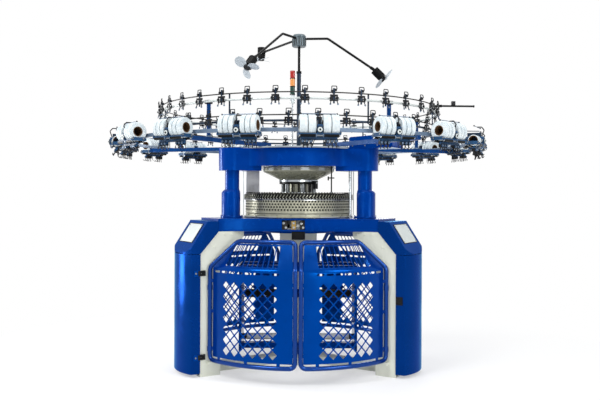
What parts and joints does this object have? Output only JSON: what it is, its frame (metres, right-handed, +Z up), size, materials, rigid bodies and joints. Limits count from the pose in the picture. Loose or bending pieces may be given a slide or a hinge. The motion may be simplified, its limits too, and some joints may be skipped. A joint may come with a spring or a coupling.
{
  "type": "circular knitting machine",
  "caption": "Industrial circular knitting machine on three covered legs, with mesh gates, a round creel of elastane bobbins and a rotating lint blower on a mast",
  "frame": {"origin": "on the floor under the axis of the needle cylinder, at the base's underside", "axes": "+Z up along the cylinder's axis, -Y to the front with the two gates, +X to the right as seen from the front"},
  "size_m": [3.4818, 3.4818, 3.0735],
  "materials": {
    "frame_paint": "satin cream enamel",
    "cover_paint": "gloss blue enamel",
    "dark_paint": "satin black enamel",
    "steel": "machined steel",
    "bright_steel": "polished steel",
    "alloy": "machined aluminium",
    "cast": "painted casting",
    "silver_paint": "silver enamel",
    "box_grey": "light grey enamel",
    "belt_rubber": "matt black rubber",
    "roller_rubber": "black rubber cover",
    "bobbin_yarn": "white wound elastane",
    "device_plastic": "dark blue moulding",
    "guide_plastic": "black moulding",
    "fan_plastic": "dark moulding",
    "lamp_plastic": "coloured lenses"
  },
  "bodies": {
    "machine": {"leg_frames": "frame_paint", "leg_caps": "cover_paint", "floor_base": "frame_paint", "machine_table": "cover_paint", "table_top": "cover_paint", "gate_stop": "dark_paint", "main_motor": "dark_paint", "drive_belt": "belt_rubber", "ring_bearings": "bright_steel", "cam_saddle": "steel", "cam_boxes": "alloy", "feeder_ring": "cast", "yarn_feeders": "steel", "dial_cam_plate": "alloy", "hub_cone": "cast", "hub_columns": "steel", "frame_posts": "cover_paint", "upper_frame": "cover_paint", "top_plate": "alloy", "drive_cover": "cover_paint", "control_box": "box_grey", "creel_frame": "alloy", "spool_ring": "alloy", "guide_rings": "alloy", "yarn_guides": "guide_plastic", "device_heads": "device_plastic", "feed_rollers": "bright_steel", "bobbins": "bobbin_yarn", "guide_combs": "guide_plastic", "mast": "bright_steel", "lamp_pole": "bright_steel", "lamp_lenses": "lamp_plastic", "rear_guards": "cover_paint"},
    "gate_left": {"gate_frame_left": "cover_paint", "gate_panel_left": "cover_paint"},
    "gate_right": {"gate_frame_right": "cover_paint", "gate_panel_right": "cover_paint"},
    "door_left": {"leg_door_left": "cover_paint", "door_latches": "dark_paint"},
    "door_right": {"leg_door_right": "cover_paint", "door_grip": "dark_paint"},
    "door_rear": {"leg_door_rear": "cover_paint"},
    "rotor": {"ring_gear": "steel", "needle_cylinder": "bright_steel", "takedown_frame": "cast"},
    "nip_front": {"nip_roller_front": "roller_rubber"},
    "nip_rear": {"nip_roller_rear": "roller_rubber"},
    "cloth_winder": {"cloth_roll": "dark_paint"},
    "dial_group": {"dial": "bright_steel", "dial_shaft": "steel", "dial_gear": "steel"},
    "drive_line": {"drive_shaft": "steel", "pinions": "steel", "shaft_pulley": "steel"},
    "motor_line": {"motor_pulley": "steel"},
    "blower": {"blower_carrier": "dark_paint", "fan_motors": "dark_paint"},
    "blades_right": {"fan_right": "fan_plastic"},
    "blades_left": {"fan_left": "fan_plastic"},
    "blades_back": {"fan_back": "fan_plastic"}
  },
  "joints": [
    {"name": "gate_right_hinge", "type": "hinge", "parent": "machine", "child": "gate_right", "pos_m": [0.74703, -0.67974, 0.129], "axis": [0, 0, 1], "range_deg": [0, 90]},
    {"name": "gate_left_hinge", "type": "hinge", "parent": "machine", "child": "gate_left", "pos_m": [-0.74703, -0.67974, 0.129], "axis": [0, 0, -1], "range_deg": [0, 90]},
    {"name": "door_left_hinge", "type": "hinge", "parent": "machine", "child": "door_left", "pos_m": [-1.02405, -0.36029, 0.03], "axis": [0, 0, -1], "range_deg": [0, 90]},
    {"name": "door_right_hinge", "type": "hinge", "parent": "machine", "child": "door_right", "pos_m": [1.02405, -0.36029, 0.03], "axis": [0, 0, 1], "range_deg": [0, 90]},
    {"name": "door_rear_hinge", "type": "hinge", "parent": "machine", "child": "door_rear", "pos_m": [-0.2, 1.067, 0.03], "axis": [0, 0, 1], "range_deg": [0, 90]},
    {"name": "cylinder_spin", "type": "hinge", "parent": "machine", "child": "rotor", "pos_m": [0, 0, 1.305], "axis": [0, 0, 1], "continuous": true},
    {"name": "dial_spin", "type": "hinge", "parent": "machine", "child": "dial_group", "pos_m": [0, 0, 1.518], "axis": [0, 0, 1], "continuous": true},
    {"name": "drive_shaft_spin", "type": "hinge", "parent": "machine", "child": "drive_line", "pos_m": [0.46765, -0.27, 1.29], "axis": [0, 0, 1], "continuous": true},
    {"name": "motor_spin", "type": "hinge", "parent": "machine", "child": "motor_line", "pos_m": [0.84784, -0.4895, 1.25], "axis": [0, 0, 1], "continuous": true},
    {"name": "nip_front_spin", "type": "hinge", "parent": "rotor", "child": "nip_front", "pos_m": [0, -0.0352, 0.62], "axis": [1, 0, 0], "continuous": true},
    {"name": "nip_rear_spin", "type": "hinge", "parent": "rotor", "child": "nip_rear", "pos_m": [0, 0.0352, 0.62], "axis": [1, 0, 0], "continuous": true},
    {"name": "cloth_winder_spin", "type": "hinge", "parent": "rotor", "child": "cloth_winder", "pos_m": [0, 0, 0.215], "axis": [1, 0, 0], "continuous": true},
    {"name": "blower_spin", "type": "hinge", "parent": "machine", "child": "blower", "pos_m": [0, 0, 2.95], "axis": [0, 0, 1], "continuous": true},
    {"name": "fan_right_spin", "type": "hinge", "parent": "blower", "child": "blades_right", "pos_m": [0.78309, -0.05476, 2.64], "axis": [0.7055, -0.0495, -0.7069], "continuous": true},
    {"name": "fan_left_spin", "type": "hinge", "parent": "blower", "child": "blades_left", "pos_m": [-0.43897, -0.65079, 2.64], "axis": [-0.3953, -0.5862, -0.7072], "continuous": true},
    {"name": "fan_back_spin", "type": "hinge", "parent": "blower", "child": "blades_back", "pos_m": [-0.39, 0.6755, 2.96], "axis": [0, 0, -1], "continuous": true}
  ],
  "couplings": [
    {"joint": "dial_spin", "follows": "cylinder_spin", "ratio": 1},
    {"joint": "drive_shaft_spin", "follows": "cylinder_spin", "ratio": -4},
    {"joint": "motor_spin", "follows": "cylinder_spin", "ratio": -8},
    {"joint": "nip_front_spin", "follows": "cylinder_spin", "ratio": 0.5},
    {"joint": "nip_rear_spin", "follows": "cylinder_spin", "ratio": -0.5},
    {"joint": "cloth_winder_spin", "follows": "cylinder_spin", "ratio": 0.5}
  ]
}
